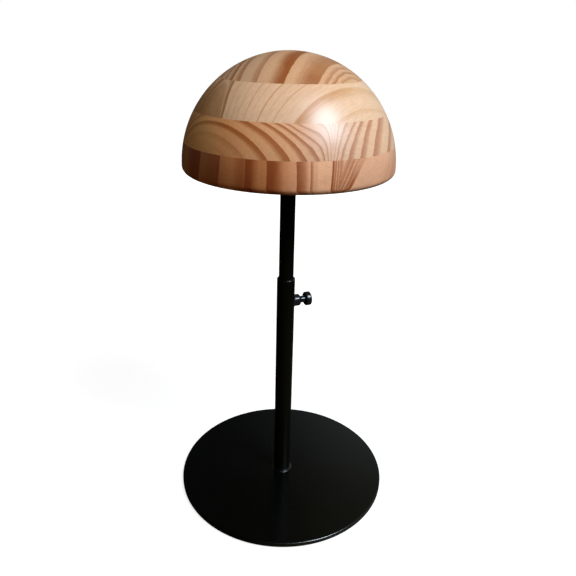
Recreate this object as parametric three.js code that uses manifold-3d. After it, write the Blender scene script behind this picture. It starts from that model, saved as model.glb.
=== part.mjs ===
// Hat stand: a dome glued up from four pine boards, on a telescopic steel pole with a round base.
// Millimetres, +Z up. The origin is on the floor under the middle of the pole, and the clamp screw
// of the pole points along +X. The height and the turn of the dome are drawn as in daily use.

import * as THREE from 'three';
import { mergeVertices } from 'three/addons/utils/BufferGeometryUtils.js';
import Module from 'manifold-3d';

const wasm = await Module();
wasm.setup();

// Driving dimensions: base
const PLATE_DIAMETER = 200;
const PLATE_THICKNESS = 4;
const PLATE_TOP_ROUNDING = 1;
const PLATE_BOTTOM_CHAMFER = 0.5;
const FOOT_COUNT = 4;
const FOOT_DIAMETER = 18;
const FOOT_THICKNESS = 1.5;
const FOOT_CHAMFER = 0.4;
const FOOT_INSET = 9;

// Driving dimensions: pole
const LOWER_TUBE_DIAMETER = 16;
const LOWER_TUBE_WALL = 1.2;
const LOWER_TUBE_LENGTH = 209.9;
const LOWER_TUBE_CHAMFER = 0.7;
const UPPER_TUBE_DIAMETER = 13;
const UPPER_TUBE_WALL = 1.2;
const UPPER_TUBE_LENGTH = 188.7;
const UPPER_TUBE_CHAMFER = 0.3;
const UPPER_TUBE_INSERTION = 95.4;
const FOOT_PLUG_LENGTH = 20;
const TOP_PLUG_LENGTH = 18;
const PLUG_CHAMFER = 0.5;

// Driving dimensions: bush that guides the foot of the upper tube in the lower tube
const BUSH_COLLAR_HEIGHT = 4;
const BUSH_SPIGOT_LENGTH = 12;
const BUSH_BORE_DIAMETER = 5;

// Driving dimensions: clamp of the pole
const CLAMP_BELOW_TUBE_TOP = 23;
const CLAMP_SCREW_DIAMETER = 6;
const CLAMP_BOSS_DIAMETER = 10.6;
const CLAMP_BOSS_LENGTH = 5.7;
const CLAMP_BOSS_CHAMFER = 0.6;
const CLAMP_NECK_LENGTH = 4.8;
const CLAMP_HEAD_DIAMETER = 12.5;
const CLAMP_HEAD_LENGTH = 5.4;
const CLAMP_HEAD_CHAMFER = 0.8;
const TIP_PAD_DIAMETER = 5;
const TIP_PAD_THICKNESS = 1.5;
const TIP_STEM_DIAMETER = 3;
const TIP_STEM_LENGTH = 3;

// Driving dimensions: machine screw, stud and nut, all of one metric thread
const THREAD_DIAMETER = 6;
const BASE_SCREW_LENGTH = 18;
const BASE_SCREW_HEAD_DIAMETER = 12;
const BASE_SCREW_RECESS = 0.2;
const HEX_SOCKET_WIDTH = 4;
const HEX_SOCKET_DEPTH = 2.2;
const STUD_IN_PLUG = 15;
const STUD_PAST_NUT = 2.5;
const STUD_CHAMFER = 0.6;
const NUT_WIDTH = 10;
const NUT_HEIGHT = 5;

// Driving dimensions: flange and wood screws that hold the dome
const FLANGE_DIAMETER = 60;
const FLANGE_THICKNESS = 3;
const FLANGE_CHAMFER = 0.5;
const WOOD_SCREW_COUNT = 4;
const WOOD_SCREW_CIRCLE = 44;
const WOOD_SCREW_DIAMETER = 4;
const WOOD_SCREW_HEAD_DIAMETER = 8;
const WOOD_SCREW_LENGTH = 16;
const WOOD_SCREW_POINT = 3;
const CROSS_RECESS_WIDTH = 0.9;
const CROSS_RECESS_SPAN = 4.4;
const CROSS_RECESS_DEPTH = 1.3;

// Driving dimensions: wooden dome
const DOME_DIAMETER = 172;
const DOME_RIM_ROUNDING = 4.5;
const BOARD_THICKNESS = 23.5;
const NUT_POCKET_DIAMETER = 16;
const NUT_POCKET_DEPTH = 12;
const PILOT_HOLE_SPARE = 1;

// Fits: running clearance between pieces that move, and the hairline left where pieces are seated
const RUNNING_GAP = 0.3;
const SEAT_GAP = 0.12;
const CUT_MARGIN = 1;

// Fineness of the round faces
const DOME_SIDES = 64;
const DOME_ARC_STEP = THREE.MathUtils.degToRad(4);
const RIM_STEPS = 4;
const PLATE_SIDES = 64;
const PLATE_ROUNDING_STEPS = 3;
const TUBE_SIDES = 40;
const FOOT_SIDES = 24;
const SCREW_SIDES = 24;
const HEX_SIDES = 6;

// Worked out from the driving dimensions
const QUARTER_TURN = Math.PI / 2;
const PLATE_BOTTOM = FOOT_THICKNESS;
const PLATE_TOP = PLATE_BOTTOM + PLATE_THICKNESS;
const LOWER_TUBE_RADIUS = LOWER_TUBE_DIAMETER / 2;
const LOWER_BORE_RADIUS = LOWER_TUBE_RADIUS - LOWER_TUBE_WALL;
const LOWER_TUBE_TOP = PLATE_TOP + LOWER_TUBE_LENGTH;
const UPPER_TUBE_RADIUS = UPPER_TUBE_DIAMETER / 2;
const UPPER_BORE_RADIUS = UPPER_TUBE_RADIUS - UPPER_TUBE_WALL;
const UPPER_TUBE_FOOT = LOWER_TUBE_TOP - UPPER_TUBE_INSERTION;
const UPPER_TUBE_TOP = UPPER_TUBE_FOOT + UPPER_TUBE_LENGTH;
const THREAD_RADIUS = THREAD_DIAMETER / 2;
const THREAD_HOLE_RADIUS = THREAD_RADIUS + SEAT_GAP;
const CLAMP_HEIGHT = LOWER_TUBE_TOP - CLAMP_BELOW_TUBE_TOP;
const CLAMP_SCREW_RADIUS = CLAMP_SCREW_DIAMETER / 2;
const CLAMP_HOLE_RADIUS = CLAMP_SCREW_RADIUS + RUNNING_GAP;
const FLANGE_TOP = UPPER_TUBE_TOP + FLANGE_THICKNESS;
const WOOD_SCREW_RADIUS = WOOD_SCREW_DIAMETER / 2;
const WOOD_SCREW_HEAD_RADIUS = WOOD_SCREW_HEAD_DIAMETER / 2;
const DOME_RADIUS = DOME_DIAMETER / 2;
const DOME_HEIGHT = DOME_RIM_ROUNDING + DOME_RADIUS;
const BOARD_COUNT = Math.ceil(DOME_HEIGHT / BOARD_THICKNESS);

const finishes = {
  blackSteel: { color: 0x0b0b0c, roughness: 0.28, metalness: 0.4 },
  zincSteel: { color: 0xb4b7ba, roughness: 0.35, metalness: 0.9 },
  rubber: { color: 0x17171a, roughness: 0.85, metalness: 0 },
  nylon: { color: 0xe6e2d8, roughness: 0.55, metalness: 0 },
};
const boardColours = [0xc98f60, 0xd9a878, 0xe4bf94, 0xd2a276];

// A three.js geometry becomes a solid: corners at one place are merged, and the flat triangles
// that a turned shape has on its axis are left out.
function solidFrom(geometry) {
  geometry.deleteAttribute('normal');
  geometry.deleteAttribute('uv');
  const merged = mergeVertices(geometry);
  const corners = Array.from(merged.index.array);
  const triangles = [];
  for (let i = 0; i < corners.length; i += 3) {
    const triangle = corners.slice(i, i + 3);
    if (new Set(triangle).size === 3) triangles.push(...triangle);
  }
  return new wasm.Manifold(new wasm.Mesh({
    numProp: 3,
    vertProperties: new Float32Array(merged.attributes.position.array),
    triVerts: new Uint32Array(triangles),
  }));
}

function geometryFrom(solid) {
  const mesh = solid.getMesh();
  const geometry = new THREE.BufferGeometry();
  geometry.setAttribute('position', new THREE.BufferAttribute(mesh.vertProperties, 3));
  geometry.setIndex(new THREE.BufferAttribute(mesh.triVerts, 1));
  geometry.computeVertexNormals();
  return geometry;
}

// A profile of [radius, height] points, counter-clockwise, turned about the Z axis. It starts and
// ends on the axis, or returns to its first point.
function turned(profile, sides) {
  const points = profile.map(([radius, height]) => new THREE.Vector2(radius, height));
  return solidFrom(new THREE.LatheGeometry(points, sides).rotateX(QUARTER_TURN));
}

function ring(profile, sides) {
  return turned([...profile, profile[0]], sides);
}

// A plain round bar on the Z axis, used as a cutter.
function bar(radius, low, high, sides) {
  return turned([[0, low], [radius, low], [radius, high], [0, high]], sides);
}

function arcPoints(centreRadius, centreHeight, radius, from, to, steps) {
  const points = [];
  for (let i = 0; i <= steps; i += 1) {
    const angle = from + (to - from) * i / steps;
    points.push([centreRadius + radius * Math.cos(angle), centreHeight + radius * Math.sin(angle)]);
  }
  return points;
}

function hexBar(width, low, high) {
  const radius = width / 2 / Math.cos(Math.PI / HEX_SIDES);
  return bar(radius, low, high, HEX_SIDES);
}

function box(sizeX, sizeY, low, high) {
  const geometry = new THREE.BoxGeometry(sizeX, sizeY, high - low);
  return solidFrom(geometry.translate(0, 0, (low + high) / 2));
}

// A tube from low to high with its outer edges bevelled.
function tube(outerRadius, boreRadius, low, high, lowChamfer, highChamfer, sides) {
  return ring([
    [boreRadius, low],
    [outerRadius - lowChamfer, low],
    [outerRadius, low + lowChamfer],
    [outerRadius, high - highChamfer],
    [outerRadius - highChamfer, high],
    [boreRadius, high],
  ], sides);
}

function named(name, solid, finish) {
  const mesh = new THREE.Mesh(geometryFrom(solid), new THREE.MeshStandardMaterial(finish));
  mesh.name = name;
  return mesh;
}

function onCircle(radius, index, count) {
  const angle = 2 * Math.PI * (index + 0.5) / count;
  return [radius * Math.cos(angle), radius * Math.sin(angle)];
}

// Base plate, with a countersunk hole from below for the screw that holds the pole.
function basePlate() {
  const radius = PLATE_DIAMETER / 2;
  const rounding = PLATE_TOP_ROUNDING;
  const sinkRadius = BASE_SCREW_HEAD_DIAMETER / 2 + SEAT_GAP;
  const sinkDepth = sinkRadius - THREAD_HOLE_RADIUS + BASE_SCREW_RECESS;
  return ring([
    [THREAD_HOLE_RADIUS, PLATE_BOTTOM + sinkDepth],
    [sinkRadius, PLATE_BOTTOM + BASE_SCREW_RECESS],
    [sinkRadius, PLATE_BOTTOM],
    [radius - PLATE_BOTTOM_CHAMFER, PLATE_BOTTOM],
    [radius, PLATE_BOTTOM + PLATE_BOTTOM_CHAMFER],
    ...arcPoints(radius - rounding, PLATE_TOP - rounding, rounding, 0, QUARTER_TURN, PLATE_ROUNDING_STEPS),
    [THREAD_HOLE_RADIUS, PLATE_TOP],
  ], PLATE_SIDES);
}

function footPad() {
  const radius = FOOT_DIAMETER / 2;
  return turned([
    [0, 0],
    [radius - FOOT_CHAMFER, 0],
    [radius, FOOT_CHAMFER],
    [radius, FOOT_THICKNESS],
    [0, FOOT_THICKNESS],
  ], FOOT_SIDES);
}

// A countersunk screw with its head at height 0 and its shank upwards.
function countersunkScrew(headRadius, shankRadius, length, pointLength, pointRadius) {
  return turned([
    [0, 0],
    [headRadius, 0],
    [shankRadius, headRadius - shankRadius],
    [shankRadius, length - pointLength],
    [pointRadius, length],
    [0, length],
  ], SCREW_SIDES);
}

function baseScrew() {
  const blank = countersunkScrew(
    BASE_SCREW_HEAD_DIAMETER / 2,
    THREAD_RADIUS,
    BASE_SCREW_LENGTH,
    STUD_CHAMFER,
    THREAD_RADIUS - STUD_CHAMFER,
  );
  return blank.subtract(hexBar(HEX_SOCKET_WIDTH, -CUT_MARGIN, HEX_SOCKET_DEPTH));
}

function woodScrew() {
  const blank = countersunkScrew(
    WOOD_SCREW_HEAD_RADIUS,
    WOOD_SCREW_RADIUS,
    WOOD_SCREW_LENGTH,
    WOOD_SCREW_POINT,
    0,
  );
  const slot = box(CROSS_RECESS_SPAN, CROSS_RECESS_WIDTH, -CUT_MARGIN, CROSS_RECESS_DEPTH);
  const crossSlot = box(CROSS_RECESS_WIDTH, CROSS_RECESS_SPAN, -CUT_MARGIN, CROSS_RECESS_DEPTH);
  return blank.subtract(slot.add(crossSlot));
}

// A threaded plug that is pressed into the end of a tube.
function plug(boreRadius, low, length) {
  const radius = boreRadius - SEAT_GAP;
  return tube(radius, THREAD_HOLE_RADIUS, low, low + length, PLUG_CHAMFER, PLUG_CHAMFER, TUBE_SIDES);
}

// Lower tube of the pole, with the hole that the clamp screw passes.
function lowerTube() {
  const plainTube = tube(
    LOWER_TUBE_RADIUS,
    LOWER_BORE_RADIUS,
    PLATE_TOP,
    LOWER_TUBE_TOP,
    LOWER_TUBE_CHAMFER / 2,
    LOWER_TUBE_CHAMFER,
    TUBE_SIDES,
  );
  const screwHole = bar(CLAMP_HOLE_RADIUS, 0, LOWER_TUBE_DIAMETER, SCREW_SIDES)
    .rotate([0, 90, 0])
    .translate([0, 0, CLAMP_HEIGHT]);
  return plainTube.subtract(screwHole);
}

// Bush below the end of the upper tube: its collar runs in the lower tube, and the upper tube
// turns on its spigot.
function guideBush() {
  const collarRadius = LOWER_BORE_RADIUS - RUNNING_GAP;
  const spigotRadius = UPPER_BORE_RADIUS - RUNNING_GAP;
  const boreRadius = BUSH_BORE_DIAMETER / 2;
  const collarTop = UPPER_TUBE_FOOT - RUNNING_GAP;
  return ring([
    [boreRadius, collarTop - BUSH_COLLAR_HEIGHT],
    [collarRadius, collarTop - BUSH_COLLAR_HEIGHT],
    [collarRadius, collarTop],
    [spigotRadius, collarTop],
    [spigotRadius, collarTop + BUSH_SPIGOT_LENGTH],
    [boreRadius, collarTop + BUSH_SPIGOT_LENGTH],
  ], TUBE_SIDES);
}

function upperTube() {
  return tube(
    UPPER_TUBE_RADIUS,
    UPPER_BORE_RADIUS,
    UPPER_TUBE_FOOT,
    UPPER_TUBE_TOP,
    UPPER_TUBE_CHAMFER,
    UPPER_TUBE_CHAMFER,
    TUBE_SIDES,
  );
}

// The clamp's pieces are drawn along their own Z axis, which becomes +X on the stand. Height 0 is
// the axis of the pole, and the pole runs along their X axis.
const BOSS_END = LOWER_TUBE_RADIUS + CLAMP_BOSS_LENGTH;
const TIP_FRONT = UPPER_TUBE_RADIUS + RUNNING_GAP;
const TIP_BACK = TIP_FRONT + TIP_PAD_THICKNESS;

function clampBoss() {
  const radius = CLAMP_BOSS_DIAMETER / 2;
  const start = LOWER_TUBE_RADIUS / 2;
  const blank = tube(radius, CLAMP_HOLE_RADIUS, start, BOSS_END, 0, CLAMP_BOSS_CHAMFER, SCREW_SIDES);
  const reach = CLAMP_BOSS_DIAMETER;
  const pole = bar(LOWER_TUBE_RADIUS + RUNNING_GAP, -reach, reach, TUBE_SIDES).rotate([0, 90, 0]);
  return blank.subtract(pole);
}

function clampTip() {
  const padRadius = TIP_PAD_DIAMETER / 2;
  const stemRadius = TIP_STEM_DIAMETER / 2;
  return turned([
    [0, TIP_FRONT],
    [padRadius, TIP_FRONT],
    [padRadius, TIP_BACK],
    [stemRadius, TIP_BACK],
    [stemRadius, TIP_BACK + TIP_STEM_LENGTH],
    [0, TIP_BACK + TIP_STEM_LENGTH],
  ], SCREW_SIDES);
}

function clampScrew() {
  const start = TIP_BACK + RUNNING_GAP;
  const socketRadius = TIP_STEM_DIAMETER / 2 + RUNNING_GAP;
  const socketEnd = start + TIP_STEM_LENGTH;
  const headRadius = CLAMP_HEAD_DIAMETER / 2;
  const headStart = BOSS_END + CLAMP_NECK_LENGTH;
  const headEnd = headStart + CLAMP_HEAD_LENGTH;
  return turned([
    [0, socketEnd],
    [socketRadius, socketEnd],
    [socketRadius, start],
    [CLAMP_SCREW_RADIUS - STUD_CHAMFER, start],
    [CLAMP_SCREW_RADIUS, start + STUD_CHAMFER],
    [CLAMP_SCREW_RADIUS, headStart],
    [headRadius - CLAMP_HEAD_CHAMFER, headStart],
    [headRadius, headStart + CLAMP_HEAD_CHAMFER],
    [headRadius, headEnd - CLAMP_HEAD_CHAMFER],
    [headRadius - CLAMP_HEAD_CHAMFER, headEnd],
    [0, headEnd],
  ], TUBE_SIDES);
}

// Stud from the plug at the top of the pole, through the flange, into the nut in the dome.
function headStud() {
  const low = UPPER_TUBE_TOP - STUD_IN_PLUG;
  const high = FLANGE_TOP + NUT_HEIGHT + STUD_PAST_NUT;
  return turned([
    [0, low],
    [THREAD_RADIUS - STUD_CHAMFER, low],
    [THREAD_RADIUS, low + STUD_CHAMFER],
    [THREAD_RADIUS, high - STUD_CHAMFER],
    [THREAD_RADIUS - STUD_CHAMFER, high],
    [0, high],
  ], SCREW_SIDES);
}

function flangeNut() {
  const hole = bar(THREAD_HOLE_RADIUS, FLANGE_TOP - CUT_MARGIN, FLANGE_TOP + NUT_HEIGHT + CUT_MARGIN, SCREW_SIDES);
  return hexBar(NUT_WIDTH, FLANGE_TOP, FLANGE_TOP + NUT_HEIGHT).subtract(hole);
}

// Flange under the dome, with a countersunk hole for each wood screw.
function headFlange() {
  const disc = tube(
    FLANGE_DIAMETER / 2,
    THREAD_HOLE_RADIUS,
    UPPER_TUBE_TOP,
    FLANGE_TOP,
    FLANGE_CHAMFER,
    0,
    PLATE_SIDES,
  );
  const sinkRadius = WOOD_SCREW_HEAD_RADIUS + SEAT_GAP;
  const holeRadius = WOOD_SCREW_RADIUS + SEAT_GAP;
  const hole = turned([
    [0, -CUT_MARGIN],
    [sinkRadius, -CUT_MARGIN],
    [sinkRadius, 0],
    [holeRadius, sinkRadius - holeRadius],
    [holeRadius, FLANGE_THICKNESS + CUT_MARGIN],
    [0, FLANGE_THICKNESS + CUT_MARGIN],
  ], SCREW_SIDES);
  let flange = disc;
  for (let i = 0; i < WOOD_SCREW_COUNT; i += 1) {
    const [x, y] = onCircle(WOOD_SCREW_CIRCLE / 2, i, WOOD_SCREW_COUNT);
    flange = flange.subtract(hole.translate([x, y, UPPER_TUBE_TOP]));
  }
  return flange;
}

// One board of the dome. The outside is a rounded rim and a half sphere, in heights above the
// underside; a board is the slice of it between two glue joints.
function board(low, high) {
  const outside = [];
  if (low === 0) {
    outside.push(...arcPoints(
      DOME_RADIUS - DOME_RIM_ROUNDING,
      DOME_RIM_ROUNDING,
      DOME_RIM_ROUNDING,
      -QUARTER_TURN,
      0,
      RIM_STEPS,
    ));
    outside.pop();
  }
  const from = Math.asin(Math.max(low - DOME_RIM_ROUNDING, 0) / DOME_RADIUS);
  const to = Math.asin((high - DOME_RIM_ROUNDING) / DOME_RADIUS);
  const steps = Math.ceil((to - from) / DOME_ARC_STEP);
  outside.push(...arcPoints(0, DOME_RIM_ROUNDING, DOME_RADIUS, from, to, steps));
  const isTop = high === DOME_HEIGHT;
  if (isTop) outside[outside.length - 1] = [0, DOME_HEIGHT];
  const profile = [[0, low], ...outside];
  if (!isTop) profile.push([0, high]);
  return turned(profile, DOME_SIDES).translate([0, 0, FLANGE_TOP]);
}

// The lowest board has a pocket for the nut and a pilot hole for each wood screw.
function boardWithHoles(plainBoard) {
  const low = FLANGE_TOP - CUT_MARGIN;
  const pilotTop = UPPER_TUBE_TOP + WOOD_SCREW_LENGTH + PILOT_HOLE_SPARE;
  const pilot = bar(WOOD_SCREW_RADIUS + SEAT_GAP, low, pilotTop, SCREW_SIDES);
  let drilled = plainBoard.subtract(
    bar(NUT_POCKET_DIAMETER / 2, low, FLANGE_TOP + NUT_POCKET_DEPTH, SCREW_SIDES),
  );
  for (let i = 0; i < WOOD_SCREW_COUNT; i += 1) {
    const [x, y] = onCircle(WOOD_SCREW_CIRCLE / 2, i, WOOD_SCREW_COUNT);
    drilled = drilled.subtract(pilot.translate([x, y, 0]));
  }
  return drilled;
}

function baseGroup() {
  const group = new THREE.Group();
  group.add(named('base_plate', basePlate(), finishes.blackSteel));
  const footCircle = PLATE_DIAMETER / 2 - FOOT_INSET - FOOT_DIAMETER / 2;
  for (let i = 0; i < FOOT_COUNT; i += 1) {
    const foot = named(`foot_pad_${i + 1}`, footPad(), finishes.rubber);
    foot.position.set(...onCircle(footCircle, i, FOOT_COUNT), 0);
    group.add(foot);
  }
  const screw = named('base_screw', baseScrew(), finishes.zincSteel);
  screw.position.z = PLATE_BOTTOM + BASE_SCREW_RECESS;
  group.add(screw);
  group.add(named('tube_foot_plug', plug(LOWER_BORE_RADIUS, PLATE_TOP, FOOT_PLUG_LENGTH), finishes.zincSteel));
  group.add(named('lower_tube', lowerTube(), finishes.blackSteel));
  return group;
}

function clampGroup() {
  const group = new THREE.Group();
  group.position.z = CLAMP_HEIGHT;
  group.rotation.y = QUARTER_TURN;
  group.add(named('clamp_boss', clampBoss(), finishes.blackSteel));
  group.add(named('clamp_tip', clampTip(), finishes.nylon));
  group.add(named('clamp_screw', clampScrew(), finishes.blackSteel));
  return group;
}

function poleGroup() {
  const group = new THREE.Group();
  const topPlugFoot = UPPER_TUBE_TOP - TOP_PLUG_LENGTH;
  group.add(named('guide_bush', guideBush(), finishes.nylon));
  group.add(named('upper_tube', upperTube(), finishes.blackSteel));
  group.add(named('tube_top_plug', plug(UPPER_BORE_RADIUS, topPlugFoot, TOP_PLUG_LENGTH), finishes.zincSteel));
  group.add(named('head_stud', headStud(), finishes.zincSteel));
  return group;
}

function headGroup() {
  const group = new THREE.Group();
  group.add(named('head_flange', headFlange(), finishes.blackSteel));
  group.add(named('flange_nut', flangeNut(), finishes.zincSteel));
  for (let i = 0; i < WOOD_SCREW_COUNT; i += 1) {
    const screw = named(`flange_screw_${i + 1}`, woodScrew(), finishes.zincSteel);
    screw.position.set(...onCircle(WOOD_SCREW_CIRCLE / 2, i, WOOD_SCREW_COUNT), UPPER_TUBE_TOP);
    group.add(screw);
  }
  for (let i = 0; i < BOARD_COUNT; i += 1) {
    const low = i * BOARD_THICKNESS;
    const high = Math.min(low + BOARD_THICKNESS, DOME_HEIGHT);
    const plainBoard = board(low, high);
    const solid = i === 0 ? boardWithHoles(plainBoard) : plainBoard;
    const finish = { color: boardColours[i % boardColours.length], roughness: 0.4, metalness: 0 };
    group.add(named(`crown_board_${i + 1}`, solid, finish));
  }
  return group;
}

const hatStand = new THREE.Group();
hatStand.add(baseGroup(), clampGroup(), poleGroup(), headGroup());

export default hatStand;
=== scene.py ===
"""Hat stand: a dome turned from four glued pine boards, on a telescopic black steel pole."""

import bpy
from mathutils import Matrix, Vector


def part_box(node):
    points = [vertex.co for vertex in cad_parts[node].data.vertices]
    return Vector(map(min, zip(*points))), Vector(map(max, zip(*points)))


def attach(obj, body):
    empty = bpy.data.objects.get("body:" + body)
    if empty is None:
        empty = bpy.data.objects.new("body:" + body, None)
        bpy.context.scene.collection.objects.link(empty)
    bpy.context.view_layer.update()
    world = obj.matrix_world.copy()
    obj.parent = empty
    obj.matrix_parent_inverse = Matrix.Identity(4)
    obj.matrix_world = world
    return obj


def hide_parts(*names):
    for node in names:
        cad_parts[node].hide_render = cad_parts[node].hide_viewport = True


bl_info = {
    "name": "Hat Stand",
    "version": (1, 0, 0),
    "blender": (4, 5, 0),
    "location": "View3D > Sidebar > Hat Stand",
    "description": "Dresses a hat stand in turned pine, black lacquer and zinc, and sets up a studio",
    "category": "Object",
}

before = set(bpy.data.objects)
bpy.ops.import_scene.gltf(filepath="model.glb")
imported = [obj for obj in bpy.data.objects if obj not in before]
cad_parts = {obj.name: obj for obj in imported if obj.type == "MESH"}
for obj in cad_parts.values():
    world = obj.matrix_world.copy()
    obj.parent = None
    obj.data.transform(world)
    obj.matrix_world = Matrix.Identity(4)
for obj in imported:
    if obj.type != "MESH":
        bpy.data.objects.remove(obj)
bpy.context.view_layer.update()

import math

import bpy
import numpy as np
from bpy.props import CollectionProperty, FloatProperty, FloatVectorProperty
from bpy.props import IntProperty, PointerProperty, StringProperty
from mathutils import Matrix

MM = 0.001
SHARP_ANGLE = math.radians(32)


def box_size(node, axis):
    """Length of a node's box along one axis, in metres."""
    low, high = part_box(node)
    return float(high[axis] - low[axis])


def floor_of(node):
    """Height of a node's lowest point."""
    return float(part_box(node)[0][2])


def top_of(node):
    """Height of a node's highest point."""
    return float(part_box(node)[1][2])


def middle_of(node):
    """Middle of a node's box, seen from above."""
    low, high = (np.array(corner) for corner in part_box(node))
    return (low[:2] + high[:2]) / 2


# Heights and radii that the frame gives
PLATE_RADIUS = box_size("base_plate", 0) / 2
PLATE_LOW = floor_of("base_plate")
PLATE_TOP = top_of("base_plate")
LOWER_TUBE_RADIUS = box_size("lower_tube", 0) / 2
LOWER_TUBE_TOP = top_of("lower_tube")
UPPER_TUBE_RADIUS = box_size("upper_tube", 0) / 2
UPPER_TUBE_FOOT = floor_of("upper_tube")
UPPER_TUBE_TOP = top_of("upper_tube")
DOME_RADIUS = box_size("crown_board_1", 0) / 2
DOME_FLOOR = floor_of("crown_board_1")
CLAMP_HEIGHT = (floor_of("clamp_screw") + top_of("clamp_screw")) / 2
BOARD_NODES = ("crown_board_1", "crown_board_2", "crown_board_3", "crown_board_4")
FOOT_NODES = ("foot_pad_1", "foot_pad_2", "foot_pad_3", "foot_pad_4")
FLANGE_SCREW_NODES = ("flange_screw_1", "flange_screw_2", "flange_screw_3", "flange_screw_4")

# Values that several pieces share
TINY = 1e-9
SEAT_GAP = 0.12 * MM
SHANK_RADIUS = 3 * MM
CUTTER_MARGIN = MM
CUTTER_SIDES = 48
PEEL_GRAIN = 0.7 * MM
FINE_PEEL_GRAIN = 0.5 * MM
FROM_AXIS = (1, 1, 0)
FROM_FLOOR = (0, 0, 1)


def length(name, description, millimetres=0.0):
    """A length property, with its default in millimetres."""
    return FloatProperty(
        name=name, description=description, default=millimetres * MM, unit="LENGTH", precision=5
    )


def angle_property(name, description, radians=0.0):
    """An angle property, with its default in radians."""
    return FloatProperty(name=name, description=description, default=radians, subtype="ANGLE")


def power(name, description, watts):
    """A power property, with its default in watts."""
    return FloatProperty(name=name, description=description, default=watts, unit="POWER")


def plain(name, description, default=0.0):
    """A property that is a plain number."""
    return FloatProperty(name=name, description=description, default=default)


def colour(name, description, default):
    """A colour property."""
    return FloatVectorProperty(
        name=name, description=description, default=default, subtype="COLOR", min=0, max=1
    )


class HatStandSizes(bpy.types.PropertyGroup):
    """Sizes of the edges, threads and sockets that the construction model leaves plain."""

    plate_top_rounding: length("Plate top edge", "Rounding of the base plate's upper edge", 1.0)
    plate_low_rounding: length("Plate lower edge", "Rounding of the base plate's lower edge", 0.5)
    foot_rounding: length("Foot edge", "Rounding of a rubber pad's lower edge", 0.4)
    tube_wall: length("Tube wall", "Wall of both tubes", 1.2)
    tube_mouth_rounding: length("Tube mouth", "Rounding of the lower tube's outer rim", 0.7)
    tube_fine_rounding: length("Fine edge", "Rounding of the small machined edges", 0.2)
    clamp_hole_radius: length("Clamp hole", "Radius of the hole that the clamp screw passes", 3.3)
    boss_rounding: length("Boss edge", "Rounding of the clamp boss's outer edge", 1.9)
    weld_leg: length("Weld", "Leg of the weld fillet between boss and lower tube", 0.8)
    foot_weld: length("Foot weld", "Leg of the fillet between the lower tube and the plate", 2)
    knob_length: length("Knob length", "Length of the clamp screw's head", 5.4)
    knob_rounding: length("Knob edge", "Rounding of the clamp screw's head", 1.3)
    thread_pitch: length("Clamp thread pitch", "Travel of the clamp screw in one turn", 1.0)
    thread_depth: length("Thread depth", "Depth of the screw threads", 0.45)
    hex_socket_width: length("Hex socket", "Width across flats of the base screw's socket", 4.0)
    bore_radius: length("Bores", "Radius of the bores in plate and flange", 3.12)
    flange_rounding: length("Flange edge", "Rounding of the flange's lower edge", 0.8)
    wood_screw_radius: length("Wood screws", "Radius of the wood screws' shanks", 2)
    recess_span: length("Recess span", "Span of the wood screws' cross recess", 4.4)
    recess_width: length("Recess width", "Width of the arms of that recess", 0.9)
    recess_depth: length("Recess depth", "Depth of that recess", 1.3)
    dome_rim_rounding: length("Dome rim", "Rounding where the dome meets its underside", 4.5)
    dome_sides: IntProperty(name="Dome sides", description="Steps round the dome", default=240)
    plate_sides: IntProperty(name="Plate sides", description="Steps round the base", default=256)
    tube_sides: IntProperty(name="Tube sides", description="Steps round the tubes", default=96)


class HatStandFinishes(bpy.types.PropertyGroup):
    """Colours and gloss of the metal, rubber and nylon pieces."""

    lacquer: colour("Black lacquer", "Colour of the lacquered steel", (0.0006, 0.0006, 0.0006))
    lacquer_roughness: plain("Lacquer roughness", "Roughness of the lacquered steel", 0.22)
    tube_lacquer: colour("Tube lacquer", "Colour of the lacquer on the tubes", (0.0026, 0.0022, 0.0012))
    tube_roughness: plain("Tube roughness", "Roughness of the lacquer on the tubes", 0.34)
    # The plate's rim gets its gloss coat only about this side, where the key lamp's highlight reaches the
    # camera: a painted highlight.
    highlight_side: angle_property(
        "Highlight side", "Side where the plate's rim gleams, against +X", math.radians(-86)
    )
    gloss_black: colour("Gloss black", "Colour of the boss and the clamp screw", (0.008, 0.008, 0.009))
    gloss_roughness: plain("Gloss roughness", "Roughness of the boss and the clamp screw", 0.2)
    zinc: colour("Zinc plate", "Colour of the screws, stud, nut and plugs", (0.58, 0.59, 0.6))
    rubber: colour("Rubber", "Colour of the foot pads", (0.018, 0.018, 0.019))
    nylon: colour("Nylon", "Colour of the clamp tip and the guide bush", (0.74, 0.71, 0.63))


class HatStandRing(bpy.types.PropertyGroup):
    """One growth ring."""

    edge: length("Edge", "Radius of the ring's outer edge")
    darkness: plain("Darkness", "How dark its latewood is, 0 to 1")
    share: plain(
        "Latewood", "Share of its width that is latewood, negative where its inner edge is the dark one"
    )


class HatStandTone(bpy.types.PropertyGroup):
    """Colours of the wood at one place along a level line."""

    place: length("Place", "Distance along the line of tones")
    early: colour("Earlywood", "Colour of the pale part of a ring there", (0.8, 0.56, 0.38))
    late: colour("Latewood", "Colour of the dark part of a ring there", (0.4, 0.15, 0.05))
    strength: plain("Strength", "Share of the rings' darkness that shows there")


class HatStandBoard(bpy.types.PropertyGroup):
    """Growth rings and colours of one board."""

    node: StringProperty(name="Board", description="Node of this board")
    pith_turn: angle_property("Pith turn", "Direction of the pith about the vertical")
    pith_rise: angle_property("Pith rise", "Slope of the pith above the level")
    pith_aside: length("Pith aside", "Level distance of the pith from the pole's axis")
    pith_above: length("Pith above", "Distance of the pith above the dome's middle")
    bend_aside: plain("Bend aside", "Level bend of the pith, as one over twice its radius in metres")
    bend_above: plain("Bend above", "Upright bend of the pith, as one over twice its radius in metres")
    taper: plain("Taper", "Slope of the rings against the pith")
    crook_height: length("Crook height", "How far the rings swell at a crook of the trunk")
    crook_place: length("Crook place", "Place of the crook along the grain")
    crook_width: length("Crook width", "Distance over which the swelling falls to a third")
    unevenness: length("Unevenness", "How far slow waves push a ring out or in")
    tone_turn: angle_property("Line of tones", "Its direction, against +X", math.radians(-22))
    tones: CollectionProperty(type=HatStandTone)
    rings: CollectionProperty(type=HatStandRing)


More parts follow.
